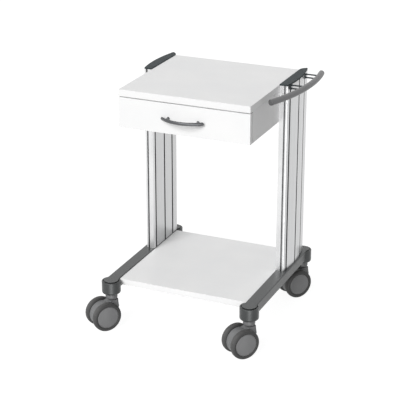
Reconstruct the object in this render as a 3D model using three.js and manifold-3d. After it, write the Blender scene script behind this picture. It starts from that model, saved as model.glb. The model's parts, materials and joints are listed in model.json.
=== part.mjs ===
// Wheeled equipment trolley: a top panel and a single drawer unit hang between two slotted
// aluminium columns, which stand on two base runners with a lower shelf and four twin-wheel casters.
//
// Millimetres, +Z up. The drawer opens towards -Y and the push handle is on the +X side.
// While the pieces are laid out, x = 0 is the middle plane, y = 0 the front edge of the top panel
// and z = 0 the floor. The last step moves the trolley so that its box is centred on the origin.

import * as THREE from 'three';
import { mergeVertices } from 'three/addons/utils/BufferGeometryUtils.js';
import Module from 'manifold-3d';

const wasm = await Module();
wasm.setup();

// ---------------------------------------------------------------- driving dimensions

const GAP = 0.3;               // clearance between pieces that touch
const CUT = 1;                 // how far a cutting tool runs past the face that it cuts

const BAY = 450;               // clear width between the two columns
const BOARD_EDGE = BAY / 2 - GAP;
const TOP_Z = 813;             // height of the top panel's upper face
const PANEL_DEPTH = 440;
const PANEL_THICK = 22;
const BOARD = 16;              // thickness of the drawer unit's boards

const FRONT_GAP = 3.5;         // shadow gap between the top panel and the drawer front
const FRONT_HEIGHT = 99;
const FRONT_TOP = TOP_Z - PANEL_THICK - FRONT_GAP;
const UNIT_BOTTOM = FRONT_TOP - FRONT_HEIGHT;
const UNIT_TOP = TOP_Z - PANEL_THICK - GAP;
const UNIT_FRONT = BOARD + 3;
const UNIT_REAR = 436;
const UNIT_FLOOR = 6;          // thickness of the drawer unit's bottom board

const SHELF_TOP = 164.5;
const SHELF_THICK = 20;
const SHELF_FRONT = -17.5;
const SHELF_REAR = 435.5;

const RUNNER_TOP = 167;
const RUNNER_HEIGHT = 34;
const RUNNER_WIDTH = 40.4;
const RUNNER_X = BAY / 2 + GAP + RUNNER_WIDTH / 2;
const BOSS_RADIUS = 31.5;
const BOSS_BOTTOM = 122;
const BOSS_TOP = RUNNER_TOP - 2.8;
const BOSS_GROOVE = { outer: 26.8, floor: 161 };       // round the bar's end, in the boss's top
const BAR_END = { radius: 24.3, lip: 1.2, foot: 21.8 };   // a disc that narrows below its lip
const CASTER_Y = { front: -40, rear: 457 };

const COLUMN_FRONT = 248;
const COLUMN_REAR = 433;
const COLUMN_TIP = { x: 243, y: 460 };
const COLUMN_TOP = 811.2;
const BULGE = { x: 259.7, y: 334.5, radius: 513.6 };   // crown and radius of the outer face
const SLOT_Y = [268, 340.5, 403];                      // side slots, the same on both faces
const SIDE_SLOT = { neck: 9, lip: 2.5, cavity: 15, depth: 9 };
const FRONT_SLOT = { x: 243.5, neck: 5.5, lip: 2, cavity: 9, depth: 7 };
const CAP_TOP = 816;

const GRIP_Z = TOP_Z - 7.5;                            // push handle's height
const GRIP_RADIUS = 10;
const GRIP_WALL = 1.5;
const GRIP_BEND = { x: 305.8, y: 336, radius: 675 };   // outermost point and radius of its bend
const GRIP_FRONT_Y = 86;
const GRIP_REAR_Y = 452;
const PLUG = { depth: 12, head: 3, edge: 1.5, face: GRIP_RADIUS - 2.5 };
const ARM_SPREAD = 5.5;                                 // bracket arms above and below the tube's middle

const DRAWER = { halfWidth: 195.7, wall: 12, low: 700, high: 772, floor: 6, rear: 400 };
const CABINET_RAIL = { web: BOARD_EDGE - BOARD - GAP, reach: 9, halfHeight: 22.5, front: 24 };
const DRAWER_RAIL = { web: DRAWER.halfWidth + GAP, reach: 9.9, halfHeight: 19, front: 18 };
const RAIL_LENGTH = 380;
const RAIL_WALL = 1.5;
const SLIDE_Z = 735;                                   // middle height of the drawer slides

const PULL_Z = FRONT_TOP - FRONT_HEIGHT / 2 + 1.4;     // height of the bow handle
const PULL_HALF = 72;
const PULL_REACH = 33;                                 // how far the bow stands out of the front
const PULL_END_REACH = 6;
const PULL_FOOT = { x: 51, radius: 4, tap: 12 };
const PULL_SECTION = { halfHeight: 5.4, halfWidth: 4 };
const PULL_SCREW = { shank: 2, length: 26, head: 4, headThick: 2.6 };

const WHEEL_RADIUS = 50;
const WHEEL_OFFSET = 28;       // from the caster's middle plane to a wheel's middle plane
const WHEEL_HALF = 11;         // half of a wheel's width
const CORE_RADIUS = 37.2;
const TRAIL = 32;              // from the swivel axis to the wheel axle
const TRAIL_ANGLE = 232.7;     // degrees about +Z: the way all four casters trail at rest
const WHEEL_FACETS = 24;
const FACET_REACH = 1 / Math.cos(Math.PI / WHEEL_FACETS);   // corner radius over face radius
const NECK_RADIUS = 20;
const NECK_TOP = 119.5;
const STEM = { radius: 6, low: 78, high: 157, collar: 14 };
const AXLE = { radius: 4, half: 33 };

// ---------------------------------------------------------------- materials

const finish = (color, roughness, metalness = 0) =>
  () => new THREE.MeshStandardMaterial({ color, roughness, metalness });

const whiteBoard = finish(0xf2f2f2, 0.5);
const aluminium = finish(0xc9cacc, 0.35, 0.9);
const runnerGrey = finish(0x5e6163, 0.6, 0.2);
const capSlate = finish(0x42494b, 0.7);
const plugGrey = finish(0x5c5c5e, 0.6);
const handleGrey = finish(0x75767a, 0.45, 0.4);
const pullGrey = finish(0x6b6d70, 0.35, 0.6);
const steel = finish(0xb4b6b8, 0.35, 0.9);
const casterGrey = finish(0x707273, 0.6);
const wheelGrey = finish(0x7e7f81, 0.55);
const tyreBlack = finish(0x3f4041, 0.8);

// ---------------------------------------------------------------- helpers

/** A closed three.js geometry as a manifold solid. */
function solid(geometry) {
  const bare = geometry.clone();
  bare.deleteAttribute('normal');
  bare.deleteAttribute('uv');
  const merged = mergeVertices(bare, 1e-4);
  return new wasm.Manifold(new wasm.Mesh({
    numProp: 3,
    vertProperties: merged.attributes.position.array,
    triVerts: new Uint32Array(merged.index.array),
  }));
}

/** A manifold solid as a three.js geometry. */
function geometryOf(body) {
  const { vertProperties, triVerts } = body.getMesh();
  const geometry = new THREE.BufferGeometry();
  geometry.setAttribute('position', new THREE.BufferAttribute(vertProperties, 3));
  geometry.setIndex(new THREE.BufferAttribute(triVerts, 1));
  geometry.computeVertexNormals();
  return geometry;
}

function piece(name, geometry, material) {
  const mesh = new THREE.Mesh(geometry, material());
  mesh.name = name;
  return mesh;
}

/** A box from its lowest to its highest corner. */
function box([x0, y0, z0], [x1, y1, z1]) {
  const geometry = new THREE.BoxGeometry(x1 - x0, y1 - y0, z1 - z0);
  return geometry.translate((x0 + x1) / 2, (y0 + y1) / 2, (z0 + z1) / 2);
}

/** A flat outline in x and y, raised from z0 to z1. */
function plate(shape, z0, z1, curveSegments = 8) {
  const geometry = new THREE.ExtrudeGeometry(shape, { depth: z1 - z0, bevelEnabled: false, curveSegments });
  return geometry.translate(0, 0, z0);
}

/** A round bar along 'x', 'y' or 'z' between two places on that axis. */
function rod(axis, radius, from, to, segments = 16) {
  const geometry = new THREE.CylinderGeometry(radius, radius, to - from, segments);
  geometry.translate(0, (from + to) / 2, 0);
  if (axis === 'x') geometry.rotateZ(-Math.PI / 2);
  if (axis === 'z') geometry.rotateX(Math.PI / 2);
  return geometry;
}

/** A turned solid about z. The profile holds [radius, z] points, going up along its outside. */
function turned(profile, segments = 28) {
  const points = profile.map(([radius, z]) => new THREE.Vector2(radius, z));
  return new THREE.LatheGeometry(points, segments).rotateX(Math.PI / 2);
}

/** An outline through straight corners. */
function polygon(corners) {
  return new THREE.Shape(corners.map(([x, y]) => new THREE.Vector2(x, y)));
}

/** An arc about its crown. place(drop, along) turns the fall from the crown into a point. */
class CrownArc extends THREE.Curve {
  constructor(place, radius, from, to) {
    super();
    this.place = place;
    this.radius = radius;
    this.from = Math.asin(from / radius);
    this.to = Math.asin(to / radius);
  }

  getPoint(t, target = new THREE.Vector3()) {
    const angle = THREE.MathUtils.lerp(this.from, this.to, t);
    const drop = this.radius * (1 - Math.cos(angle));
    return target.copy(this.place(drop, this.radius * Math.sin(angle)));
  }
}

// ---------------------------------------------------------------- boards: top, shelf, drawer unit

function makeBoards() {
  const inside = BOARD_EDGE - BOARD - GAP;
  const boards = [
    piece('top_panel',
      box([-BOARD_EDGE, 0, TOP_Z - PANEL_THICK], [BOARD_EDGE, PANEL_DEPTH, TOP_Z]), whiteBoard),
    piece('housing_left_side',
      box([-BOARD_EDGE, UNIT_FRONT, UNIT_BOTTOM], [-BOARD_EDGE + BOARD, UNIT_REAR, UNIT_TOP]), whiteBoard),
    piece('housing_right_side',
      box([BOARD_EDGE - BOARD, UNIT_FRONT, UNIT_BOTTOM], [BOARD_EDGE, UNIT_REAR, UNIT_TOP]), whiteBoard),
    piece('housing_back',
      box([-inside, UNIT_REAR - BOARD, UNIT_BOTTOM], [inside, UNIT_REAR, UNIT_TOP]), whiteBoard),
    piece('housing_bottom',
      box([-inside, UNIT_FRONT, UNIT_BOTTOM], [inside, UNIT_REAR - BOARD - GAP, UNIT_BOTTOM + UNIT_FLOOR]),
      whiteBoard),
  ];

  // The shelf's corners are notched round the caster bosses.
  let shelf = solid(box([-BOARD_EDGE, SHELF_FRONT, SHELF_TOP - SHELF_THICK],
    [BOARD_EDGE, SHELF_REAR, SHELF_TOP]));
  for (const side of [-1, 1]) {
    for (const y of Object.values(CASTER_Y)) {
      const notch = rod('z', BOSS_RADIUS + 2 * GAP, 0, TOP_Z, 28);
      shelf = shelf.subtract(solid(notch.translate(side * RUNNER_X, y, 0)));
    }
  }
  boards.push(piece('lower_shelf', geometryOf(shelf), whiteBoard));
  return boards;
}

// ---------------------------------------------------------------- columns and caps

/** Section of the right column: flat inner face, crowned outer face, ogival rear. */
function columnOutline() {
  const { x, y, radius } = BULGE;
  const inner = BAY / 2;
  const corner = 3;
  const angle = (at) => Math.asin((at - y) / radius);
  const frontAngle = angle(COLUMN_FRONT + corner);
  const frontX = x - radius * (1 - Math.cos(frontAngle));
  const shape = new THREE.Shape();
  shape.moveTo(inner, COLUMN_FRONT);
  shape.lineTo(frontX - corner, COLUMN_FRONT);
  shape.quadraticCurveTo(frontX, COLUMN_FRONT, frontX, COLUMN_FRONT + corner);
  shape.absarc(x - radius, y, radius, frontAngle, angle(COLUMN_REAR), false);
  shape.quadraticCurveTo(COLUMN_TIP.x + 4.5, COLUMN_TIP.y - 9, COLUMN_TIP.x + 2, COLUMN_TIP.y - 1);
  shape.quadraticCurveTo(COLUMN_TIP.x, COLUMN_TIP.y + 1, COLUMN_TIP.x - 3, COLUMN_TIP.y - 1.5);
  shape.quadraticCurveTo(inner + 2, COLUMN_TIP.y - 10, inner, COLUMN_REAR + 3);
  return shape;
}

/** A T-slot's section with its mouth at the origin, cut towards +Y. */
function slotSection({ neck, lip, cavity, depth }) {
  return polygon([
    [-neck / 2, -CUT], [neck / 2, -CUT], [neck / 2, lip], [cavity / 2, lip],
    [cavity / 2, depth], [-cavity / 2, depth], [-cavity / 2, lip], [-neck / 2, lip],
  ]);
}

function outerFaceX(y) {
  return BULGE.x - (y - BULGE.y) ** 2 / (2 * BULGE.radius);
}

function makeColumns() {
  const z0 = RUNNER_TOP + GAP;
  let column = solid(plate(columnOutline(), z0, COLUMN_TOP, 7));
  const cut = (section, turn, x, y) => {
    const tool = plate(section, z0 - CUT, COLUMN_TOP + CUT).rotateZ(turn);
    column = column.subtract(solid(tool.translate(x, y, 0)));
  };
  cut(slotSection(FRONT_SLOT), 0, FRONT_SLOT.x, COLUMN_FRONT);
  for (const y of SLOT_Y) {
    cut(slotSection(SIDE_SLOT), -Math.PI / 2, BAY / 2, y);
    cut(slotSection(SIDE_SLOT), Math.PI / 2, outerFaceX(y), y);
  }

  // Hollow chambers between the slots, open at both ends of the extrusion.
  const wall = 3;
  const halfSlot = SIDE_SLOT.cavity / 2 + wall;
  const roomEnds = [
    [SLOT_Y[0] + halfSlot, SLOT_Y[1] - halfSlot],
    [SLOT_Y[1] + halfSlot, SLOT_Y[2] - halfSlot],
    [SLOT_Y[2] + halfSlot, COLUMN_REAR - CUT],
  ];
  for (const [from, to] of roomEnds) {
    const inner = BAY / 2 + wall;
    const outer = Math.min(outerFaceX(from), outerFaceX(to)) - wall;
    cut(polygon([[inner, from], [outer, from], [outer, to], [inner, to]]), 0, 0, 0);
  }

  const columnShape = geometryOf(column);
  const capShape = plate(columnOutline(), COLUMN_TOP + GAP, CAP_TOP, 7);
  const pieces = [];
  for (const [name, side] of [['right', 1], ['left', -1]]) {
    const extrusion = piece(`column_${name}`, columnShape, aluminium);
    const cap = piece(`column_cap_${name}`, capShape, capSlate);
    extrusion.scale.x = side;
    cap.scale.x = side;
    pieces.push(extrusion, cap);
  }
  return pieces;
}

// ---------------------------------------------------------------- base runners

/** The runner bar's section in x and z, with rounded outer edges. */
function runnerSection() {
  const inner = -RUNNER_WIDTH / 2;
  const outer = RUNNER_WIDTH / 2;
  const bottom = RUNNER_TOP - RUNNER_HEIGHT;
  const round = 4;
  const shape = new THREE.Shape();
  shape.moveTo(inner, bottom);
  shape.lineTo(outer - round, bottom);
  shape.quadraticCurveTo(outer, bottom, outer, bottom + round);
  shape.lineTo(outer, RUNNER_TOP - round);
  shape.quadraticCurveTo(outer, RUNNER_TOP, outer - round, RUNNER_TOP);
  shape.lineTo(inner, RUNNER_TOP);
  return shape;
}

function makeRunners() {
  const bar = new THREE.ExtrudeGeometry(runnerSection(), {
    depth: CASTER_Y.rear - CASTER_Y.front, bevelEnabled: false, curveSegments: 3,
  });
  bar.rotateX(Math.PI / 2).translate(0, CASTER_Y.rear, 0);
  let runner = solid(bar);

  // A ledge along the inner side carries the shelf.
  const ledge = { reach: 12, thick: 5, inset: 15 };
  const ledgeTop = SHELF_TOP - SHELF_THICK - GAP;
  runner = runner.add(solid(box(
    [-RUNNER_WIDTH / 2 - ledge.reach, SHELF_FRONT + ledge.inset, ledgeTop - ledge.thick],
    [0, SHELF_REAR - ledge.inset, ledgeTop],
  )));

  // Each end is a round boss. The bar's end stands on it as a disc inside a groove, and a blind
  // bore takes the caster's stem.
  const boss = turned([
    [0, BOSS_BOTTOM], [BOSS_RADIUS - 4, BOSS_BOTTOM], [BOSS_RADIUS - 1, BOSS_BOTTOM + 2],
    [BOSS_RADIUS, BOSS_BOTTOM + 5], [BOSS_RADIUS, BOSS_TOP - 1.5], [BOSS_RADIUS - 1, BOSS_TOP],
    [BOSS_GROOVE.outer, BOSS_TOP], [BOSS_GROOVE.outer, BOSS_GROOVE.floor],
    [BAR_END.foot, BOSS_GROOVE.floor], [BAR_END.radius, RUNNER_TOP - BAR_END.lip],
    [BAR_END.radius, RUNNER_TOP], [0, RUNNER_TOP],
  ], 24);
  const bore = rod('z', STEM.radius + GAP, BOSS_BOTTOM - CUT, STEM.high + 2);
  for (const y of Object.values(CASTER_Y)) {
    runner = runner.add(solid(boss.clone().translate(0, y, 0)));
  }
  for (const y of Object.values(CASTER_Y)) {
    runner = runner.subtract(solid(bore.clone().translate(0, y, 0)));
  }

  const shape = geometryOf(runner);
  return [['right', 1], ['left', -1]].map(([name, side]) => {
    const mesh = piece(`base_runner_${name}`, shape, runnerGrey);
    mesh.position.x = side * RUNNER_X;
    mesh.scale.x = side;
    return mesh;
  });
}

// ---------------------------------------------------------------- push handle

function gripArc() {
  const { x, y, radius } = GRIP_BEND;
  const place = (drop, along) => new THREE.Vector3(x - drop, y + along, GRIP_Z);
  return new CrownArc(place, radius, GRIP_FRONT_Y - y, GRIP_REAR_Y - y);
}

function tubeSection(radius, hole) {
  const shape = new THREE.Shape();
  shape.absarc(0, 0, radius, 0, 2 * Math.PI, false);
  if (hole) shape.holes.push(new THREE.Path().absarc(0, 0, hole, 0, 2 * Math.PI, true));
  return shape;
}

function makePushHandle() {
  const arc = gripArc();
  const alongArc = { extrudePath: arc, steps: 14, curveSegments: 8 };
  const sweep = (shape) => new THREE.ExtrudeGeometry(shape, alongArc);
  const tube = sweep(tubeSection(GRIP_RADIUS, GRIP_RADIUS - GRIP_WALL));
  const clearance = solid(sweep(tubeSection(GRIP_RADIUS + GAP)));
  const pieces = [piece('push_handle_tube', tube, handleGrey)];

  // A plug closes each end of the tube: a shank inside it and a domed head outside.
  const shank = GRIP_RADIUS - GRIP_WALL - 3 * GAP;
  const plug = turned([
    [0, -PLUG.depth], [shank, -PLUG.depth], [shank, GAP], [GRIP_RADIUS, GAP],
    [GRIP_RADIUS, PLUG.edge], [PLUG.face, PLUG.head], [0, PLUG.head],
  ], 16);
  for (const [name, t, way] of [['front', 0, -1], ['rear', 1, 1]]) {
    const mesh = piece(`push_handle_plug_${name}`, plug, plugGrey);
    const outwards = arc.getTangent(t).multiplyScalar(way);
    mesh.position.copy(arc.getPoint(t));
    mesh.quaternion.setFromUnitVectors(new THREE.Vector3(0, 0, 1), outwards);
    pieces.push(mesh);
  }

  // Each bracket has a foot plate on the column and two level arms that meet the tube.
  const foot = { thick: 3, halfWidth: 7, low: 9, high: 7.5 };
  const arm = { halfWidth: 3, halfThick: 2 };
  const screw = { shank: 2, depth: 9, head: 3.1, headThick: 2.4 };
  const headSeat = foot.thick + GAP;
  for (const [name, y] of [['front', SLOT_Y[0]], ['rear', SLOT_Y[2]]]) {
    const nearest = THREE.MathUtils.clamp(BULGE.y, y - foot.halfWidth, y + foot.halfWidth);
    const seat = outerFaceX(nearest) + GAP;
    let bracket = solid(box([seat, y - foot.halfWidth, GRIP_Z - foot.low],
      [seat + foot.thick, y + foot.halfWidth, GRIP_Z + foot.high]));
    for (const level of [-ARM_SPREAD, ARM_SPREAD]) {
      bracket = bracket.add(solid(box(
        [seat, y - arm.halfWidth, GRIP_Z + level - arm.halfThick],
        [GRIP_BEND.x, y + arm.halfWidth, GRIP_Z + level + arm.halfThick],
      )));
    }
    const hole = rod('x', screw.shank + GAP, seat - CUT, seat + foot.thick + CUT);
    bracket = bracket.subtract(solid(hole.translate(0, y, GRIP_Z))).subtract(clearance);
    pieces.push(piece(`push_handle_bracket_${name}`, geometryOf(bracket), capSlate));

    const bolt = turned([
      [0, -screw.depth], [screw.shank, -screw.depth], [screw.shank, headSeat], [screw.head, headSeat],
      [screw.head, headSeat + screw.headThick], [0, headSeat + screw.headThick],
    ], 16);
    bolt.rotateY(Math.PI / 2).translate(seat, y, GRIP_Z);
    pieces.push(piece(`push_handle_screw_${name}`, bolt, steel));
  }
  return pieces;
}

// ---------------------------------------------------------------- drawer

/** The bow handle: a level bow with two round feet, tapped for the screws. */
function pullGeometry() {
  const bow = PULL_REACH - PULL_END_REACH;
  const radius = (PULL_HALF ** 2 + bow ** 2) / (2 * bow);
  const place = (drop, along) => new THREE.Vector3(along, drop - PULL_REACH, PULL_Z);
  const arc = new CrownArc(place, radius, -PULL_HALF, PULL_HALF);
  const section = new THREE.Shape();
  section.absellipse(0, 0, PULL_SECTION.halfHeight, PULL_SECTION.halfWidth, 0, 2 * Math.PI, false);
  let pull = solid(new THREE.ExtrudeGeometry(section, { extrudePath: arc, steps: 16, curveSegments: 5 }));
  const footReach = PULL_REACH - (radius - Math.sqrt(radius ** 2 - PULL_FOOT.x ** 2));
  for (const side of [-1, 1]) {
    const foot = rod('y', PULL_FOOT.radius, -footReach, -GAP);
    const tap = rod('y', PULL_SCREW.shank + GAP, -PULL_FOOT.tap, 0, 12);
    pull = pull.add(solid(foot.translate(side * PULL_FOOT.x, 0, PULL_Z)));
    pull = pull.subtract(solid(tap.translate(side * PULL_FOOT.x, 0, PULL_Z)));
  }
  return geometryOf(pull);
}

function makeDrawer() {
  const { halfWidth, wall, low, high, rear } = DRAWER;
  const inside = halfWidth - wall;
  const fit = inside - GAP;
  const floor = low + DRAWER.floor;
  const back = BOARD + GAP;   // where the tray starts, behind the drawer front

  let front = solid(box([-BOARD_EDGE, 0, UNIT_BOTTOM], [BOARD_EDGE, BOARD, FRONT_TOP]));
  const { shank, length, head, headThick } = PULL_SCREW;
  const screw = turned([
    [0, -length], [shank, -length], [shank, 0], [head, 0], [head, headThick], [0, headThick],
  ], 12);
  const screws = [];
  for (const [name, side] of [['left', -1], ['right', 1]]) {
    const x = side * PULL_FOOT.x;
    front = front.subtract(solid(rod('y', shank + GAP, -CUT, BOARD + CUT, 12).translate(x, 0, PULL_Z)));
    const placed = screw.clone().rotateX(-Math.PI / 2).translate(x, back, PULL_Z);
    screws.push(piece(`pull_screw_${name}`, placed, steel));
  }
  return [
    piece('drawer_front', geometryOf(front), whiteBoard),
    piece('drawer_left_side', box([-halfWidth, back, low], [-inside, rear, high]), whiteBoard),
    piece('drawer_right_side', box([inside, back, low], [halfWidth, rear, high]), whiteBoard),
    piece('drawer_back', box([-fit, rear - wall, floor + GAP], [fit, rear, high]), whiteBoard),
    piece('drawer_bottom', box([-fit, back, low], [fit, rear, floor]), whiteBoard),
    piece('drawer_pull', pullGeometry(), pullGrey),
    ...screws,
  ];
}

/** A slide's channel, open towards +X when way is 1 and towards -X when it is -1. */
function channel({ web, reach, halfHeight, front }, way) {
  const bent = web + way * RAIL_WALL;
  const open = web + way * reach;
  const inner = halfHeight - RAIL_WALL;
  const section = polygon([
    [web, -halfHeight], [open, -halfHeight], [open, -inner], [bent, -inner],
    [bent, inner], [open, inner], [open, halfHeight], [web, halfHeight],
  ]);
  const geometry = new THREE.ExtrudeGeometry(section, { depth: RAIL_LENGTH, bevelEnabled: false });
  return geometry.rotateX(Math.PI / 2).translate(0, front + RAIL_LENGTH, SLIDE_Z);
}

/** The cabinet rails open inwards, and the drawer rails open outwards inside them. */
function makeSlides() {
  const slides = [];
  for (const [name, side] of [['left', -1], ['right', 1]]) {
    const cabinet = piece(`cabinet_rail_${name}`, channel(CABINET_RAIL, -1), steel);
    const moving = piece(`drawer_rail_${name}`, channel(DRAWER_RAIL, 1), steel);
    cabinet.scale.x = side;
    moving.scale.x = side;
    slides.push(cabinet, moving);
  }
  return slides;
}

// ---------------------------------------------------------------- casters
// In a caster's own frame the swivel axis is z, the wheels trail towards +X and the axle is along Y.

function casterHousing() {
  const hub = { x: TRAIL, z: WHEEL_RADIUS, radius: 43 };
  const neckBottom = 101.5;
  const halfWeb = WHEEL_OFFSET - WHEEL_HALF - 1;
  const from = THREE.MathUtils.degToRad(190);
  const web = new THREE.Shape();
  web.moveTo(-NECK_RADIUS, neckBottom + CUT);
  web.lineTo(-NECK_RADIUS, 78);
  web.quadraticCurveTo(-NECK_RADIUS + 2, 58,
    hub.x + hub.radius * Math.cos(from), hub.z + hub.radius * Math.sin(from));
  web.absarc(hub.x, hub.z, hub.radius, from, THREE.MathUtils.degToRad(102), false);
  web.quadraticCurveTo(NECK_RADIUS, hub.z + hub.radius + 1, NECK_RADIUS, neckBottom + CUT);
  const slab = new THREE.ExtrudeGeometry(web, {
    depth: 2 * halfWeb, bevelEnabled: false, curveSegments: 14,
  });
  slab.rotateX(Math.PI / 2).translate(0, halfWeb, 0);

  const neck = turned([
    [0, neckBottom], [NECK_RADIUS, neckBottom], [NECK_RADIUS, NECK_TOP - 1.5],
    [NECK_RADIUS - 1.5, NECK_TOP], [0, NECK_TOP],
  ], 24);
  const stemBore = rod('z', STEM.radius + GAP, STEM.low - 2, NECK_TOP + CUT);
  const axleBore = rod('y', AXLE.radius + GAP, -halfWeb - CUT, halfWeb + CUT).translate(hub.x, 0, hub.z);
  return geometryOf(solid(slab).add(solid(neck)).subtract(solid(stemBore)).subtract(solid(axleBore)));
}

/** Turned about y. The profile holds [radius, y] points, going up along its outside. */
function wheelTurning(profile) {
  const points = profile.map(([radius, y]) => new THREE.Vector2(radius * FACET_REACH, y));
  // Half a facet of turn stands the wheel on a flat.
  return new THREE.LatheGeometry(points, WHEEL_FACETS, Math.PI / WHEEL_FACETS);
}

function makeCasters() {
  const housing = casterHousing();
  const { radius, low, high, collar } = STEM;
  const collarTop = BOSS_BOTTOM - GAP;
  const collarBottom = NECK_TOP + 0.5;
  const stem = turned([
    [0, low], [radius, low], [radius, collarBottom], [collar, collarBottom],
    [collar, collarTop], [radius, collarTop], [radius, high], [0, high],
  ], 16);
  const axle = rod('y', AXLE.radius, -AXLE.half, AXLE.half);

  // A core has a blind bore from its inner side and a slightly domed outer face. Its tyre is a plain ring.
  const bore = AXLE.radius + GAP;
  const boreEnd = 6;
  const core = wheelTurning([
    [0, boreEnd], [bore, boreEnd], [bore, -10.5], [30, -10.5], [CORE_RADIUS, -9],
    [CORE_RADIUS, 8.5], [17, 11.3], [0, 11.6],
  ]);
  const seat = CORE_RADIUS + GAP;
  const shoulder = WHEEL_RADIUS - 4.5;
  const tyre = wheelTurning([
    [seat, -10], [shoulder, -WHEEL_HALF], [WHEEL_RADIUS, -6], [WHEEL_RADIUS, 6],
    [shoulder, WHEEL_HALF], [seat, 10], [seat, -10],
  ]);

  const casters = new THREE.Group();
  for (const [end, y] of Object.entries(CASTER_Y)) {
    for (const [hand, side] of [['left', -1], ['right', 1]]) {
      const name = `caster_${end}_${hand}`;
      const caster = new THREE.Group();
      caster.position.set(side * RUNNER_X, y, 0);
      caster.rotation.z = THREE.MathUtils.degToRad(TRAIL_ANGLE);
      caster.add(piece(`${name}_stem`, stem, steel), piece(`${name}_housing`, housing, casterGrey));

      const axleGroup = new THREE.Group();
      axleGroup.position.set(TRAIL, 0, WHEEL_RADIUS);
      axleGroup.add(piece(`${name}_axle`, axle, steel));
      for (const [label, flip, wheelSide] of [['wheel_a', 0, 1], ['wheel_b', Math.PI, -1]]) {
        const wheel = new THREE.Group();
        wheel.position.y = wheelSide * WHEEL_OFFSET;
        wheel.rotation.z = flip;
        wheel.add(piece(`${name}_${label}_core`, core, wheelGrey));
        wheel.add(piece(`${name}_${label}_tyre`, tyre, tyreBlack));
        axleGroup.add(wheel);
      }
      caster.add(axleGroup);
      casters.add(caster);
    }
  }
  return casters;
}

// ---------------------------------------------------------------- assembly

const trolley = new THREE.Group();
trolley.add(...makeBoards(), ...makeColumns(), ...makeRunners(), ...makePushHandle());
trolley.add(...makeDrawer(), ...makeSlides(), makeCasters());

// The origin is the middle of the trolley's box, on the floor.
const bounds = new THREE.Box3().setFromObject(trolley, true);
const middle = bounds.getCenter(new THREE.Vector3());
trolley.position.set(-middle.x, -middle.y, 0);

export default trolley;
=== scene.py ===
"""Looks of the wheeled equipment trolley: a fine mesh and a procedural material for every piece.

Metres, +Z up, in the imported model's own frame. Sizes are written in millimetres and scaled by MM.
place(x, y, z) takes millimetres from the middle of the bay, the top panel's front edge and the floor.
"""

import json
import math

import bmesh
import bpy
from mathutils import Matrix, Vector


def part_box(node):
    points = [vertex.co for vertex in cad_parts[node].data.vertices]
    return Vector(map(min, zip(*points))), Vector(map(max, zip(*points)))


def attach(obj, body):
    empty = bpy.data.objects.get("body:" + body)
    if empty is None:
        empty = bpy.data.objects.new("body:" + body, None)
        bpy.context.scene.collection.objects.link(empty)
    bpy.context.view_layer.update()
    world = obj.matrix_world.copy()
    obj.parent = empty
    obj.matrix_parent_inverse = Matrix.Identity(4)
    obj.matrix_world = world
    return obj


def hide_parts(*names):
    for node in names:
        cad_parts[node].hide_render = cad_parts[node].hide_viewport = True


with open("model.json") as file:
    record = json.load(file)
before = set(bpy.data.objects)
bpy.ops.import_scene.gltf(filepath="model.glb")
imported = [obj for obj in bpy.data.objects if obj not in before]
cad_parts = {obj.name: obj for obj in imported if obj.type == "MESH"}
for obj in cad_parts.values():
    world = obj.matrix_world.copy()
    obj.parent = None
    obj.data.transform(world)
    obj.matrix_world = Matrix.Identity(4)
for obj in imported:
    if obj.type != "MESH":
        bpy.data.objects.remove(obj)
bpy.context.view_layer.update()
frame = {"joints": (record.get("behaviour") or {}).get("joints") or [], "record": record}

MM = 0.001
PANEL_LOW, PANEL_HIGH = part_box("top_panel")
BAY_MIDDLE = (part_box("column_left")[1].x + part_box("column_right")[0].x) / 2
BAY_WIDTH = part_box("column_right")[0].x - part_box("column_left")[1].x

BODY_OF = {}
for body_name, members in frame["record"]["behaviour"]["bodies"].items():
    for member in members:
        BODY_OF[member] = body_name
SLOT_OF = {part["node"]: part["material_slot"] for part in frame["record"]["subparts"]}
JOINTS = {joint["name"]: joint for joint in frame["joints"]}
WHEEL_AXIS = JOINTS["caster_front_left_wheel_a_spin"]["axis"]
CASTERS = [f"caster_{end}_{hand}" for end in ("front", "rear") for hand in ("left", "right")]

# The studio. The camera's place and target are in bay widths from the middle of the panel's front upper edge.
CAMERA = {"place": (3.7567, -8.2958, 2.8410), "target": (-0.09144, 0.5, -0.94956), "lens": 124.68}
SENSOR_WIDTH = 36
# A sun's direction points from the trolley to the sun, and its breadth is an angle in degrees.
KEY_SUN = {"from": (-0.15, -0.84, 0.52), "strength": 2.7, "breadth": 35}
REFLECTED_SUN = {"from": (0.42, -0.88, -0.21), "strength": 2.2, "breadth": 30}
FILL_STRENGTH = 0.4
ROOM_RADIUS = 12                       # metres
FLOOR_RADIUS = 11                      # metres

# Painted light on the columns' aluminium: a painted highlight on the front corners, plain metal, and painted
# shade inside the T-slots.
SHADE = {"painted_highlight": 0, "plain": 0.5, "front_slot": 0.8, "side_slot": 1}

# Shape sizes in millimetres, the same as the CAD model's where it has the shape too.
FIT = 0.3                              # clearance between pieces that touch
BOARD = {"edge": 0.7, "band": 0.9, "joint": 0.2, "joint_depth": 0.12}

# Columns and their slots: x from the bay's middle, y from the top panel's front edge.
COLUMN = {"front": 248, "rear": 433, "tip": (243, 460), "inner": 225, "corner": 3}
BULGE = {"x": 259.7, "y": 334.5, "radius": 513.6}
SLOT_Y = (268, 340.5, 403)
SIDE_SLOT = {"neck": 9, "lip": 2.5, "cavity": 15, "depth": 9}
FRONT_SLOT = {"neck": 5.5, "lip": 2, "cavity": 9, "depth": 7}
FRONT_SLOT_X = 243.5
SLOT_EASE = 0.4                        # rounding of the slots' lips
HIGHLIGHT_REACH = {"inner": 14, "outer": 6}   # how far back the painted highlight on the columns' front corners reaches
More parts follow.
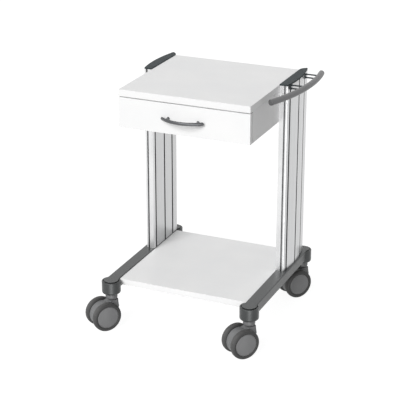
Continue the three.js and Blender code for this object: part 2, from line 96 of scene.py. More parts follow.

# Base runners, with a boss for a caster's stem at each end.
RUNNER = {"x": 245.5, "half": 20.2, "top": 167, "bottom": 133, "edge": 3}
LEDGE = {"width": 12, "thick": 5, "inset": 15, "edge": 0.8}
BOSS = {"radius": 31.5, "bottom": 122, "top": 164.2, "front": -40, "rear": 457}
GROOVE = {"outer": 26.8, "floor": 161}
BAR_END = {"radius": 24.3, "lip": 1.2, "foot": 21.8}
STEM = {"radius": 6, "low": 78, "high": 157, "collar": 14}
BORE_TOP = STEM["high"] + 2

# Push handle: a tube on a wide bend, plugs in its ends and brackets of two arms.
GRIP = {"z": 805.5, "radius": 10, "x": 305.8, "y": 336, "bend": 675, "front": 86, "rear": 452}
TUBE_TRIM = 0.1                        # keeps the round tube inside the CAD model's faceted one
PLUG = {"wall": 1.5, "spigot": 12, "dome": 3}
BRACKET = {"foot": 3, "edge": 0.9}
ARM = {"spread": 5.5, "half_width": 3, "half_thick": 2, "short": 7, "edge": 1.2}
ARM_SCREW = {"shank": 2, "depth": 9, "head": 3.1, "thick": 2.4}

# Drawer: its bow handle and slides.
PULL = {"z": 739.4, "half": 72, "reach": 33, "end": 6, "foot": 51, "height": 5.4, "depth": 4, "tip": 4.5}
PULL_FOOT = {"flange": 5.2, "stalk": 4}
PULL_SCREW = {"shank": 2, "depth": 26, "head": 4, "thick": 2.6}
SLIDE = {"wall": 1.5, "bend": 1.8, "inner_bend": 0.6, "lip": 0.3}

# Casters, in a caster's own frame.
NECK = {"radius": 20, "top": 119.5, "low": 101.5}
HUB = {"x": 32, "z": 50, "radius": 43, "arc": (190, 462)}
WEB = {"half": 16, "shoulder": 97.5, "heel": 78, "front": 8, "back_edge": 9, "rim": 1.6}
AXLE = {"radius": 4, "half": 33}
WHEEL_RADIUS = 50
CORE_RADIUS = 37.2


def place(x, y, z):
    """A layout point in millimetres as a point of the frame."""
    return Vector((BAY_MIDDLE + x * MM, PANEL_LOW.y + y * MM, z * MM))


# ---------------------------------------------------------------- outlines and profiles


def arc(centre, radius, start, end, steps):
    """Points on an arc, angles in degrees."""
    points = []
    for i in range(steps + 1):
        angle = math.radians(start + (end - start) * i / steps)
        points.append((centre[0] + radius * math.cos(angle), centre[1] + radius * math.sin(angle)))
    return points


def curve(start, control, end, steps=8):
    """Points on a quadratic curve, without its first point."""
    points = []
    for i in range(1, steps + 1):
        t = i / steps
        weights = ((1 - t) ** 2, 2 * t * (1 - t), t * t)
        points.append(tuple(weights[0] * a + weights[1] * b + weights[2] * c
                            for a, b, c in zip(start, control, end)))
    return points


def soften(points, radius, closed=False, steps=4):
    """Rounds the corners of a polyline. A point may carry its own radius as a third number."""
    result = []
    count = len(points)
    for i, point in enumerate(points):
        if not closed and i in (0, count - 1):
            result.append(tuple(point[:2]))
            continue
        here = Vector(point[:2])
        before = Vector(points[i - 1][:2])
        after = Vector(points[(i + 1) % count][:2])
        reach = point[2] if len(point) > 2 else radius
        reach = min(reach, (before - here).length * 0.48, (after - here).length * 0.48)
        if reach < 1e-4:
            result.append(tuple(here))
            continue
        start = here + (before - here).normalized() * reach
        end = here + (after - here).normalized() * reach
        result.append(tuple(start))
        result.extend(curve(start, here, end, steps))
    return result


# ---------------------------------------------------------------- mesh tools


def skin(bm, rows, lengthwise=False):
    """Joins rings of vertices with faces. A row of one vertex is a pole."""
    pairs = list(zip(rows, rows[1:]))
    if lengthwise:
        pairs.append((rows[-1], rows[0]))
    count = max(len(row) for row in rows)
    for low, high in pairs:
        for i in range(count):
            j = (i + 1) % count
            corners = [low[i % len(low)], low[j % len(low)], high[j % len(high)], high[i % len(high)]]
            unique = list(dict.fromkeys(corners))
            if len(unique) > 2:
                bm.faces.new(unique)


def revolve(profile, segments=72):
    """Turns [radius, z] points, in millimetres, about z. A profile off the axis closes on itself."""
    bm = bmesh.new()
    rows = []
    for radius, z in profile:
        if radius < 1e-6:
            rows.append([bm.verts.new((0, 0, z * MM))])
            continue
        angles = [2 * math.pi * i / segments for i in range(segments)]
        rows.append([bm.verts.new((radius * MM * math.cos(a), radius * MM * math.sin(a), z * MM))
                     for a in angles])
    skin(bm, rows, lengthwise=profile[0][0] > 1e-6)
    return bm


def prism(outline, low, high, along="z"):
    """Raises an outline in millimetres between two levels along an axis."""
    order = {"z": lambda a, b, c: (a, b, c), "y": lambda a, b, c: (a, c, b)}[along]
    bm = bmesh.new()
    rows = [[bm.verts.new(Vector(order(a, b, level)) * MM) for a, b in outline] for level in (low, high)]
    skin(bm, rows)
    for row in rows:
        bm.faces.new(row)
    bmesh.ops.recalc_face_normals(bm, faces=bm.faces)
    return bm


def sweep(path, section):
    """Carries a section along level path points. section(i) gives [side, up] points in millimetres."""
    bm = bmesh.new()
    rows = []
    for i, point in enumerate(path):
        before = path[max(i - 1, 0)]
        after = path[min(i + 1, len(path) - 1)]
        forward = (Vector(after) - Vector(before)).normalized()
        side = forward.cross(Vector((0, 0, 1))).normalized()
        rows.append([bm.verts.new((Vector(point) + side * s + Vector((0, 0, 1)) * u) * MM)
                     for s, u in section(i)])
    skin(bm, rows)
    bm.faces.new(rows[0])
    bm.faces.new(rows[-1])
    bmesh.ops.recalc_face_normals(bm, faces=bm.faces)
    return bm


def block(low, high, radius):
    """A box between two corners, in metres, with rounded edges."""
    bm = bmesh.new()
    bmesh.ops.create_cube(bm, size=1)
    low, high = Vector(low), Vector(high)
    for vertex in bm.verts:
        vertex.co = Vector(((low[i] + high[i]) / 2 + vertex.co[i] * (high[i] - low[i])) for i in range(3))
    bmesh.ops.bevel(bm, geom=bm.edges[:], offset=radius * MM, segments=3, profile=0.5, affect="EDGES")
    return bm


def round_rims(bm, radius, keep=lambda z: True):
    """Rounds the edges between a prism's flat ends and its walls, at the levels that keep accepts."""
    bm.normal_update()
    rims = []
    for edge in bm.edges:
        level = [abs(face.normal.z) > 0.9 for face in edge.link_faces]
        if len(level) == 2 and level[0] != level[1] and keep(edge.verts[0].co.z):
            rims.append(edge)
    bmesh.ops.bevel(bm, geom=rims, offset=radius * MM, segments=3, profile=0.5,
                    affect="EDGES", clamp_overlap=True)
    return bm


def shifted(bm, x, y, z=0):
    """The same mesh moved to a layout place in millimetres."""
    bmesh.ops.translate(bm, vec=place(x, y, z), verts=bm.verts)
    return bm


def transformed(bm, matrix):
    bmesh.ops.transform(bm, matrix=matrix, verts=bm.verts)
    return bm


def as_object(name, bm):
    bmesh.ops.recalc_face_normals(bm, faces=bm.faces)
    mesh = bpy.data.meshes.new(name)
    bm.to_mesh(mesh)
    bm.free()
    piece = bpy.data.objects.new(name, mesh)
    bpy.context.scene.collection.objects.link(piece)
    return piece


def combine(bm, tool, operation="UNION"):
    """A closed mesh joined with, or cut by, another one."""
    target = as_object("target", bm)
    other = as_object("tool", tool)
    modifier = target.modifiers.new("combine", "BOOLEAN")
    modifier.operation = operation
    modifier.solver = "EXACT"
    modifier.object = other
    evaluated = target.evaluated_get(bpy.context.evaluated_depsgraph_get())
    result = bmesh.new()
    result.from_mesh(evaluated.to_mesh())
    evaluated.to_mesh_clear()
    for temporary in (target, other):
        mesh = temporary.data
        bpy.data.objects.remove(temporary)
        bpy.data.meshes.remove(mesh)
    bmesh.ops.remove_doubles(result, verts=result.verts, dist=1e-6)
    bmesh.ops.dissolve_degenerate(result, dist=1e-6, edges=result.edges)
    return result


def mirrored(bm):
    """The right-hand piece turned into the left-hand one, about the bay's middle plane."""
    middle = Matrix.Translation((BAY_MIDDLE, 0, 0))
    return transformed(bm, middle @ Matrix.Diagonal((-1, 1, 1, 1)) @ middle.inverted())


def dress(node, bm, matrix=None, sharp=32):
    """Shows this mesh for a CAD node: same body, same slot. Edges above `sharp` degrees stay crisp."""
    piece = as_object(f"{node}_fine", bm)
    piece.data.shade_smooth()
    piece.data.set_sharp_from_angle(angle=math.radians(sharp))
    weighted = piece.modifiers.new("weighted normals", "WEIGHTED_NORMAL")
    weighted.keep_sharp = True
    piece.data.materials.append(MATERIALS[SLOT_OF[node]])
    if matrix is not None:
        turn = matrix.copy()
        turn.translation = (0, 0, 0)
        piece.data.transform(turn)
        piece.location = matrix.translation
    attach(piece, BODY_OF[node])
    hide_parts(node)


# ---------------------------------------------------------------- materials


class Surface:
    """A Principled material with short calls for its texture nodes."""

    def __init__(self, name, roughness, metallic=0.0):
        self.material = bpy.data.materials.new(name)
        self.material.use_nodes = True
        self.tree = self.material.node_tree
        self.shader = self.tree.nodes["Principled BSDF"]
        self.shader.inputs["Roughness"].default_value = roughness
        self.shader.inputs["Metallic"].default_value = metallic
        self.coordinates = self.node("ShaderNodeTexCoord").outputs["Object"]

    def node(self, kind, **settings):
        made = self.tree.nodes.new(kind)
        for key, value in settings.items():
            setattr(made, key, value)
        return made

    def feed(self, socket, value):
        if isinstance(value, bpy.types.NodeSocket):
            self.tree.links.new(value, socket)
        else:
            socket.default_value = value

    def noise(self, scale, detail=3, stretch=(1, 1, 1)):
        """Noise over the piece's own coordinates, in cycles per metre."""
        mapping = self.node("ShaderNodeMapping")
        self.feed(mapping.inputs["Vector"], self.coordinates)
        mapping.inputs["Scale"].default_value = [scale * s for s in stretch]
        texture = self.node("ShaderNodeTexNoise")
        texture.inputs["Scale"].default_value = 1
        texture.inputs["Detail"].default_value = detail
        self.feed(texture.inputs["Vector"], mapping.outputs["Vector"])
        return texture.outputs["Fac"]

    def spread(self, value, low, high, start=0.3, end=0.7):
        """Maps a texture value to the range from low to high."""
        node = self.node("ShaderNodeMapRange")
        self.feed(node.inputs["Value"], value)
        for name, number in (("From Min", start), ("From Max", end), ("To Min", low), ("To Max", high)):
            node.inputs[name].default_value = number
        return node.outputs["Result"]

    def math(self, operation, a, b=0.0):
        node = self.node("ShaderNodeMath", operation=operation)
        self.feed(node.inputs[0], a)
        self.feed(node.inputs[1], b)
        return node.outputs["Value"]

    def blend(self, factor, first, second):
        node = self.node("ShaderNodeMix", data_type="RGBA")
        self.feed(node.inputs["Factor"], factor)
        self.feed(node.inputs["A"], rgba(first))
        self.feed(node.inputs["B"], rgba(second))
        return node.outputs["Result"]

    def color(self, value):
        self.feed(self.shader.inputs["Base Color"], value)

    def roughness(self, value):
        self.feed(self.shader.inputs["Roughness"], value)

    def bump(self, *layers):
        """Layers are (height value, depth in metres), from coarse to fine."""
        normal = None
        for value, depth in layers:
            node = self.node("ShaderNodeBump")
            node.inputs["Strength"].default_value = 1
            node.inputs["Distance"].default_value = depth
            self.feed(node.inputs["Height"], value)
            if normal is not None:
                self.feed(node.inputs["Normal"], normal)
            normal = node.outputs["Normal"]
        self.feed(self.shader.inputs["Normal"], normal)

    def from_axis(self, axis):
        """Distance from an axis through the piece's origin, for turned pieces."""
        cross = self.node("ShaderNodeVectorMath", operation="CROSS_PRODUCT")
        self.feed(cross.inputs[0], self.coordinates)
        cross.inputs[1].default_value = axis
        length = self.node("ShaderNodeVectorMath", operation="LENGTH")
        self.feed(length.inputs[0], cross.outputs["Vector"])
        return length.outputs["Value"]


def rgba(value):
    """Grey number, linear colour or socket as what a colour input takes."""
    if isinstance(value, bpy.types.NodeSocket):
        return value
    if isinstance(value, (int, float)):
        return (value, value, value, 1)
    return (*value, 1)


def laminate():
    """White melamine: a fine pearl texture with faint clouding."""
    s = Surface("white laminate", 0.48)
    clouds = s.noise(9, 4)
    pearl = s.noise(900, 2)
    s.color(s.blend(s.spread(clouds, 0, 1), (0.84, 0.842, 0.845), (0.87, 0.87, 0.868)))
    s.roughness(s.spread(pearl, 0.42, 0.55))
    s.shader.inputs["Specular IOR Level"].default_value = 0.25
    s.bump((pearl, 0.00006))
    return s.material


def anodised():
    """Extruded aluminium: fine die lines along it, a painted highlight in patches at the front and painted
    shade in its slots.
    """
    s = Surface("satin anodised aluminium", 0.36, 0.9)
    lines = s.noise(1400, 3, (1, 1, 0.002))
    bands = s.noise(160, 2, (1, 1, 0.004))
    haze = s.noise(30, 3)
    tone = s.math("ADD", s.spread(lines, -0.35, 0.35), s.spread(bands, 0.3, 0.7))
    metal = s.blend(tone, (0.50, 0.505, 0.51), (0.63, 0.632, 0.635))
    shade = s.node("ShaderNodeAttribute", attribute_name="shade").outputs["Fac"]
    # Painted highlight: the columns' front corner faces lighter, in slow patches.
    patches = s.spread(s.noise(5, 1, (0.1, 0.1, 1)), 0.45, 1)
    highlight_mask = s.math("MULTIPLY", s.spread(shade, 1, 0, SHADE["painted_highlight"], SHADE["plain"]), patches)
    metal = s.blend(highlight_mask, metal, (0.72, 0.722, 0.725))
    # Painted shade: the faces inside the T-slots darker, where their cavities lie in shadow.
    dark = s.spread(shade, 0, 1, SHADE["plain"], SHADE["side_slot"])
    s.color(s.blend(dark, metal, (0.145, 0.147, 0.15)))
    s.roughness(s.math("ADD", s.spread(lines, 0.3, 0.42), s.spread(haze, -0.03, 0.03)))
    s.bump((lines, 0.00004))
    return s.material


def powder(name, dark, light, roughness, metallic, grain=700, gloss=0.0):
    """Powder coat: orange peel, a fine sparkle of tone and a slow drift of colour, with or without gloss."""
    s = Surface(name, roughness, metallic)
    s.shader.inputs["Coat Weight"].default_value = gloss
    s.shader.inputs["Coat Roughness"].default_value = 0.14
    peel = s.noise(grain, 2)
    fleck = s.noise(grain * 2.3, 4)
    drift = s.noise(14, 3)
    tone = s.math("ADD", s.spread(fleck, -0.3, 0.3), s.spread(drift, 0.25, 0.75))
    s.color(s.blend(tone, dark, light))
    wear = s.spread(drift, roughness - 0.04, roughness + 0.04)
    s.roughness(s.math("ADD", s.spread(peel, -0.05, 0.05), wear))
    s.bump((peel, 0.00012), (fleck, 0.00004))
    return s.material


def moulded(name, dark, light, roughness, grain=1100, shine=0.5):
    """Moulded plastic: an even spark-eroded texture with faint flow marks."""
    s = Surface(name, roughness)
    s.shader.inputs["Specular IOR Level"].default_value = shine
    texture = s.noise(grain, 4)
    flow = s.noise(35, 3, (1, 1, 0.4))
    tone = s.math("ADD", s.spread(texture, -0.3, 0.3), s.spread(flow, 0.2, 0.8))
    s.color(s.blend(tone, dark, light))
    s.roughness(s.spread(texture, roughness - 0.06, roughness + 0.06))
    s.bump((flow, 0.00008), (texture, 0.00006))
    return s.material


def zinc():
    """Zinc-plated steel: a faint spangle and fine scratches."""
    s = Surface("zinc-plated steel", 0.3, 1.0)
    spangle = s.noise(260, 2)
    scratch = s.noise(1500, 2, (1, 0.05, 1))
    s.color(s.blend(s.spread(spangle, 0, 1), (0.52, 0.53, 0.55), (0.68, 0.69, 0.7)))
    s.roughness(s.spread(scratch, 0.22, 0.42))
    s.bump((scratch, 0.00003))
    return s.material


def tyre_rubber():
    """Dark grey rubber: a matt, slightly uneven skin and a dusty crown."""
    s = Surface("tyre rubber", 0.62)
    radius = s.from_axis(WHEEL_AXIS)
    skin_noise = s.noise(900, 4)
    dust = s.noise(60, 4)
    crown = s.spread(radius, 0, 1, (WHEEL_RADIUS - 2.5) * MM, (WHEEL_RADIUS + 0.2) * MM)
    worn = s.math("MULTIPLY", crown, s.spread(dust, 0.3, 1))
    base = s.blend(s.spread(skin_noise, 0, 1), 0.028, 0.042)
    s.shader.inputs["Specular IOR Level"].default_value = 0.4
    s.color(s.blend(worn, base, (0.1, 0.099, 0.098)))
    s.roughness(s.spread(skin_noise, 0.55, 0.72))
    s.bump((dust, 0.00006), (skin_noise, 0.00008))
    return s.material


def make_materials():
    """One material for every slot of the record. Colours are linear, the darker and the lighter tone."""
    return {
        "white_board": laminate(),
        "anodised_aluminium": anodised(),
        "slate_plastic": moulded(
            "slate plastic", (0.014, 0.02, 0.022), (0.034, 0.044, 0.048), 0.62, grain=420, shine=0.25),
        "plug_plastic": moulded(
            "plug plastic", (0.075, 0.076, 0.078), (0.105, 0.106, 0.108), 0.55, grain=420),
        "runner_coating": powder(
            "runner powder coat", (0.036, 0.039, 0.0395), (0.055, 0.0585, 0.059), 0.32, 0.25),
        "handle_coating": powder(
            "handle powder coat", (0.13, 0.131, 0.134), (0.17, 0.171, 0.174), 0.42, 0.35),
        "pull_metal": powder(
            "die-cast pull", (0.07, 0.073, 0.078), (0.1, 0.103, 0.108), 0.3, 0.6, grain=900, gloss=0.5),
        "steel": zinc(),
        "caster_plastic": moulded("caster plastic", (0.13, 0.132, 0.135), (0.175, 0.177, 0.18), 0.5),
        "wheel_plastic": moulded("wheel plastic", (0.18, 0.181, 0.184), (0.22, 0.221, 0.224), 0.42),
        "tyre_rubber": tyre_rubber(),
    }


MATERIALS = make_materials()


# ---------------------------------------------------------------- boards


def board(node):
    """A laminated board with softened edges and the fine joint of its edge band."""
    low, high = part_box(node)
    bm = block(low, high, BOARD["edge"])
    broad_faces = sorted(bm.faces, key=lambda face: face.calc_area())[-2:]
    groove = BOARD["joint_depth"]
    for face in broad_faces:
        for width, depth in ((BOARD["band"], 0), (BOARD["joint"], -groove), (BOARD["joint"], groove)):
            bmesh.ops.inset_region(bm, faces=[face], thickness=width * MM, depth=depth * MM,
                                   use_even_offset=True)
    dress(node, bm)


def shelf():
    """The lower shelf, its corners notched round the bosses."""
    low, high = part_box("lower_shelf")
    half = (high.x - low.x) / 2 / MM
    notch = BOSS["radius"] + 2 * FIT
    across = RUNNER["x"] - half
    outline = []
    for side, ends in ((1, ("front", "rear")), (-1, ("rear", "front"))):
        for end in ends:
            edge = ((low.y if end == "front" else high.y) - PANEL_LOW.y) / MM
            inward = 1 if end == "front" else -1
            on_side = (half, BOSS[end] + inward * math.sqrt(notch ** 2 - across ** 2))
            along = edge - BOSS[end]
            on_end = (RUNNER["x"] - math.sqrt(notch ** 2 - along ** 2), edge)
            angles = [math.degrees(math.atan2(y - BOSS[end], x - RUNNER["x"])) % 360
                      for x, y in (on_end, on_side)]
            run = arc((RUNNER["x"], BOSS[end]), notch, *angles, 10)
            if (end == "rear") == (side == 1):
                run.reverse()
            outline += [(side * x, y) for x, y in run]
    bm = prism(outline, low.z / MM, high.z / MM)
    dress("lower_shelf", shifted(round_rims(bm, BOARD["edge"]), 0, 0))


def make_boards():
    for node, slot in SLOT_OF.items():
        if slot == "white_board" and node != "lower_shelf":
            board(node)
    shelf()


# ---------------------------------------------------------------- columns and caps


def outer_x(y):
    """The crowned outer face of the right column."""
    return BULGE["x"] - BULGE["radius"] + math.sqrt(BULGE["radius"] ** 2 - (y - BULGE["y"]) ** 2)


def slot_steps(slot):
    """A T-slot as [along, deep] steps, with eased lips."""
    neck, cavity = slot["neck"] / 2, slot["cavity"] / 2
    lip, depth = slot["lip"], slot["depth"]
    half = [(neck + SLOT_EASE, 0), (neck, SLOT_EASE), (neck, lip), (cavity, lip), (cavity, depth)]
    return [(-a, d) for a, d in half] + [(a, d) for a, d in reversed(half)]


def column_outline(slots):
    """The right column's section, with or without slots, counter-clockwise from its inner front corner."""
    inner, front, rear, corner = COLUMN["inner"], COLUMN["front"], COLUMN["rear"], COLUMN["corner"]
    front_x = outer_x(front + corner)
    points = [(inner, front)]
    if slots:
        points += [(FRONT_SLOT_X + a, front + d) for a, d in slot_steps(FRONT_SLOT)]
    points.append((front_x - corner, front))
    points += curve((front_x - corner, front), (front_x, front), (front_x, front + corner), 6)

    # The outer face in stretches, with a slot after each one but the last.
    stops = [front + corner]
    for y in SLOT_Y if slots else ():
        stops += [y - SIDE_SLOT["neck"] / 2 - SLOT_EASE, y + SIDE_SLOT["neck"] / 2 + SLOT_EASE]
    stops.append(rear)
    for i in range(0, len(stops), 2):
        steps = max(2, round((stops[i + 1] - stops[i]) / 5))
        run = [stops[i] + (stops[i + 1] - stops[i]) * k / steps for k in range(1, steps + 1)]
        points += [(outer_x(y), y) for y in run]
        if slots and i // 2 < len(SLOT_Y):
            centre = SLOT_Y[i // 2]
            points += [(outer_x(centre + a) - d, centre + a) for a, d in slot_steps(SIDE_SLOT)]

    # The rear narrows to a rounded tip and flows back into the inner face.
    tip_x, tip_y = COLUMN["tip"]
    near_tip = (tip_x + 2, tip_y - 1)
    far_tip = (tip_x - 3, tip_y - 1.5)
    points += curve((outer_x(rear), rear), (tip_x + 4.5, tip_y - 9), near_tip, 10)
    points += curve(near_tip, (tip_x, tip_y + 1), far_tip, 5)
    points += curve(far_tip, (inner + 2, tip_y - 10), (inner, rear + 3), 10)
    if slots:
        for y in reversed(SLOT_Y):
            points += [(inner + d, y - a) for a, d in slot_steps(SIDE_SLOT)]
    return [point for i, point in enumerate(points) if math.dist(point, points[i - 1]) > 1e-4]


def column_painted_light(x, y):
    """Painted light on the right column at a point of its section: a painted highlight near the front,
    painted shade in the T-slots.
    """
    behind_front = y - COLUMN["front"]
    slack = 0.1
    across_front_slot = abs(x - FRONT_SLOT_X) < FRONT_SLOT["cavity"] / 2 + slack
    # The front slot's mouth gets the painted highlight, its inside painted shade.
    if across_front_slot and behind_front < FRONT_SLOT["depth"] + slack:
        return SHADE["front_slot"] if behind_front > 0.5 else SHADE["painted_highlight"]
    # Painted shade on the faces inside the side T-slots.
    beside_slot = any(abs(y - centre) < SIDE_SLOT["cavity"] / 2 + slack for centre in SLOT_Y)
    if beside_slot and COLUMN["inner"] + 0.5 < x < outer_x(y) - 0.5:
        return SHADE["side_slot"]
    # Painted highlight on the front faces near the corners.
    reach = HIGHLIGHT_REACH["inner"] if x < FRONT_SLOT_X else HIGHLIGHT_REACH["outer"]
    return SHADE["painted_highlight"] if behind_front < reach else SHADE["plain"]


def make_columns():
    """The slotted columns, each with its painted highlight and painted shade as a face attribute, and their
    end caps.
    """
    for hand in ("right", "left"):
        low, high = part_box(f"column_{hand}")
        bm = prism(column_outline(True), low.z / MM, high.z / MM)
        light_layer = bm.faces.layers.float.new("shade")
        for face in bm.faces:
            middle = face.calc_center_median() / MM
            is_end = len(face.verts) > 4
            face[light_layer] = SHADE["plain"] if is_end else column_painted_light(middle.x, middle.y)
        shifted(bm, 0, 0)
        dress(f"column_{hand}", bm if hand == "right" else mirrored(bm), sharp=24)

        low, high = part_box(f"column_cap_{hand}")
        cap = prism(column_outline(False), low.z / MM, high.z / MM)
        round_rims(cap, 1.0, keep=lambda z: z > (low.z + high.z) / 2)
        cap = shifted(cap, 0, 0)
        dress(f"column_cap_{hand}", cap if hand == "right" else mirrored(cap))


# ---------------------------------------------------------------- base runners


def runner_bar():
    """The right runner's bar with the ledge that carries the shelf."""
    x, half = RUNNER["x"], RUNNER["half"]
    front, rear = BOSS["front"], BOSS["rear"]
    corners = [(x - half, front), (x + half, front), (x + half, rear), (x - half, rear)]
    bar = prism(corners, RUNNER["bottom"], RUNNER["top"])
    long_edges = [edge for edge in bar.edges
                  if abs((edge.verts[0].co - edge.verts[1].co).normalized().y) > 0.9]
    bmesh.ops.bevel(bar, geom=long_edges, offset=RUNNER["edge"] * MM, segments=5, profile=0.5, affect="EDGES")

    shelf_low, shelf_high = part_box("lower_shelf")
    inset = LEDGE["inset"] * MM
    ledge_low = Vector((place(x - half - LEDGE["width"], 0, 0).x, shelf_low.y + inset,
                        shelf_low.z - (FIT + LEDGE["thick"]) * MM))
    ledge_high = Vector((place(x, 0, 0).x, shelf_high.y - inset, shelf_low.z - FIT * MM))
    return combine(shifted(bar, 0, 0), block(ledge_low, ledge_high, LEDGE["edge"]))


def make_runners():
    """A cast bar with a ledge under the shelf. It ends in a disc that stands in a grooved boss."""
    runner = runner_bar()
    x, top = RUNNER["x"], RUNNER["top"]
    radius, bottom, rim = BOSS["radius"], BOSS["bottom"], BOSS["top"]
    bore = STEM["radius"] + FIT
    profile = soften([
        (0, BORE_TOP), (bore, BORE_TOP, 0), (bore, bottom, 0.6), (radius, bottom, 6),
        (radius, rim, 2), (GROOVE["outer"], rim, 0.6), (GROOVE["outer"], GROOVE["floor"], 0.5),
        (BAR_END["foot"], GROOVE["floor"], 0.3), (BAR_END["radius"], top - BAR_END["lip"], 0.2),
        (BAR_END["radius"], top, 1), (0, top),
    ], 0.5, steps=5)
    ends = (BOSS["front"], BOSS["rear"])
    for y in ends:
        runner = combine(runner, shifted(revolve(profile, 96), x, y))
    for y in ends:
        hole = revolve([(0, bottom - 1), (bore, bottom - 1), (bore, BORE_TOP), (0, BORE_TOP)], 48)
        runner = combine(runner, shifted(hole, x, y), "DIFFERENCE")
    left = mirrored(runner.copy())
    dress("base_runner_right", runner, sharp=38)
    dress("base_runner_left", left, sharp=38)


# ---------------------------------------------------------------- push handle


def grip_point(y):
    """A point on the push handle's bend, in layout millimetres."""
    along = y - GRIP["y"]
    return (GRIP["x"] - GRIP["bend"] + math.sqrt(GRIP["bend"] ** 2 - along ** 2), y, GRIP["z"])


def grip_end(y, way):
    """Matrix at an end of the tube, z pointing out of it."""
    along = y - GRIP["y"]
    slope = Vector((-along, math.sqrt(GRIP["bend"] ** 2 - along ** 2), 0)).normalized() * way
    return Matrix.Translation(place(*grip_point(y))) @ slope.to_track_quat("Z", "X").to_matrix().to_4x4()


def hex_screw(screw, seat):
    """A button-head screw along z, its head standing on z = seat, with a hexagon socket."""
    shank, head = screw["shank"], screw["head"]
    crown = seat + screw["thick"]
    profile = soften([
        (0, -screw["depth"]), (shank, -screw["depth"], 0.5), (shank, seat, 0), (head, seat, 0.2),
        (head, seat + screw["thick"] * 0.45, 0.8), (head * 0.62, crown, 0.6), (0, crown),
    ], 0.3)
    floor = seat + screw["thick"] * 0.4
    socket = revolve([(0, floor), (head * 0.42, floor), (head * 0.42, crown + 1), (0, crown + 1)], 6)
    return combine(revolve(profile, 40), socket, "DIFFERENCE")


def push_handle_tube(radius):
    """The bent grip, a round tube closed at its ends."""
    circle = [(radius * math.cos(a), radius * math.sin(a)) for a in
              (2 * math.pi * i / 40 for i in range(40))]
    steps = 60
    length = GRIP["rear"] - GRIP["front"]
    path = [grip_point(GRIP["front"] + length * i / steps) for i in range(steps + 1)]
    dress("push_handle_tube", shifted(sweep(path, lambda i: circle), 0, 0))


def push_handle_plugs(radius):
    """A domed plug at each end of the tube, its spigot inside."""
    spigot = radius - PLUG["wall"] - 3 * FIT
    head = radius - 0.2
    plug = soften([
        (0, -PLUG["spigot"]), (spigot, -PLUG["spigot"], 0.6), (spigot, FIT, 0), (head, FIT, 0.2),
        (head, 1.4, 0.8), (radius - 2, 2.7, 1.4), (0, PLUG["dome"]),
    ], 0.5)
    for name, way in (("front", -1), ("rear", 1)):
        dress(f"push_handle_plug_{name}", revolve(plug, 48), grip_end(GRIP[name], way))


def push_handle_bracket(name, y):
    """Two thin arms, one above the other, from a foot on the column to the tube, and the foot's screw."""
    low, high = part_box(f"push_handle_bracket_{name}")
    foot_high = Vector((low.x + BRACKET["foot"] * MM, high.y, high.z))
    bracket = block(low, foot_high, BRACKET["edge"])
    width, thick = 2 * ARM["half_width"] * MM, 2 * ARM["half_thick"] * MM
    for level in (-ARM["spread"], ARM["spread"]):
        end = place(grip_point(y)[0] - ARM["short"], y + ARM["half_width"],
                    GRIP["z"] + level + ARM["half_thick"])
        start = Vector((low.x + 1 * MM, end.y - width, end.z - thick))
        bracket = combine(bracket, block(start, end, ARM["edge"]))
    dress(f"push_handle_bracket_{name}", bracket)

    head = Matrix.Translation((low.x, place(0, y, 0).y, GRIP["z"] * MM))
    across = Matrix.Rotation(math.radians(90), 4, "Y")
    dress(f"push_handle_screw_{name}", hex_screw(ARM_SCREW, BRACKET["foot"] + FIT), head @ across)


def make_push_handle():
    radius = GRIP["radius"] - TUBE_TRIM
    push_handle_tube(radius)
    push_handle_plugs(radius)
    push_handle_bracket("front", SLOT_Y[0])
    push_handle_bracket("rear", SLOT_Y[2])


# ---------------------------------------------------------------- drawer furniture


def pull_foot(side, length):
    """A flared foot of the bow handle, on the drawer front."""
    flange, stalk = PULL_FOOT["flange"], PULL_FOOT["stalk"]
    foot = revolve(soften([
        (0, FIT), (flange, FIT, 0.4), (flange - 0.2, 1.6, 1), (stalk, 3.4, 1.5),
        (stalk, length, 0), (0, length),
    ], 0.5), 40)
    spot = Matrix.Translation((side * PULL["foot"] * MM, 0, PULL["z"] * MM))
    return transformed(foot, spot @ Matrix.Rotation(math.radians(90), 4, "X"))


def pull():
    """The bow handle: an oval bar that thins at its ends, on two flared feet."""
    bow = PULL["reach"] - PULL["end"]
    radius = (PULL["half"] ** 2 + bow ** 2) / (2 * bow)
    half_angle = math.asin(PULL["half"] / radius)
    steps = 72
    tip_scale = 0.06
    path = []
    scale = []
    for i in range(steps + 1):
        # More points near the ends, where the bar closes.
        t = math.sin((i / steps - 0.5) * math.pi)
        angle = half_angle * t
        path.append((radius * math.sin(angle), radius * (1 - math.cos(angle)) - PULL["reach"], PULL["z"]))
        left = max(1 - abs(t), 0) * half_angle * radius
        round_end = math.sqrt(1 - max(0, 1 - left / PULL["tip"]) ** 2)
        scale.append(tip_scale if left < 0.01 else min(1, round_end))

    def section(i):
        return [(PULL["depth"] * scale[i] * math.cos(a), PULL["height"] * scale[i] * math.sin(a))
                for a in (2 * math.pi * k / 32 for k in range(32))]

    handle = sweep(path, section)
    foot_length = PULL["reach"] - (radius - math.sqrt(radius ** 2 - PULL["foot"] ** 2))
    for side in (-1, 1):
        handle = combine(handle, pull_foot(side, foot_length))
    dress("drawer_pull", shifted(handle, 0, 0))


def make_drawer_furniture():
    pull()
    along = Matrix.Rotation(math.radians(-90), 4, "X")
    for hand in ("left", "right"):
        low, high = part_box(f"pull_screw_{hand}")
        seat = Matrix.Translation(
            ((low.x + high.x) / 2, high.y - PULL_SCREW["thick"] * MM, (low.z + high.z) / 2))
        dress(f"pull_screw_{hand}", hex_screw(PULL_SCREW, 0), seat @ along)


def slide_section(half, reach, opens):
    """The channel's section, its web at 0 and its flanges reaching to the side that it opens to."""
    wall, bend, inner_bend, lip = SLIDE["wall"], SLIDE["bend"], SLIDE["inner_bend"], SLIDE["lip"]
    corners = [
        (0, -half, bend), (reach, -half, lip), (reach, wall - half, lip), (wall, wall - half, inner_bend),
        (wall, half - wall, inner_bend), (reach, half - wall, lip), (reach, half, lip), (0, half, bend),
    ]
    return [(opens * a, b) for a, b in soften(corners, lip, closed=True)]


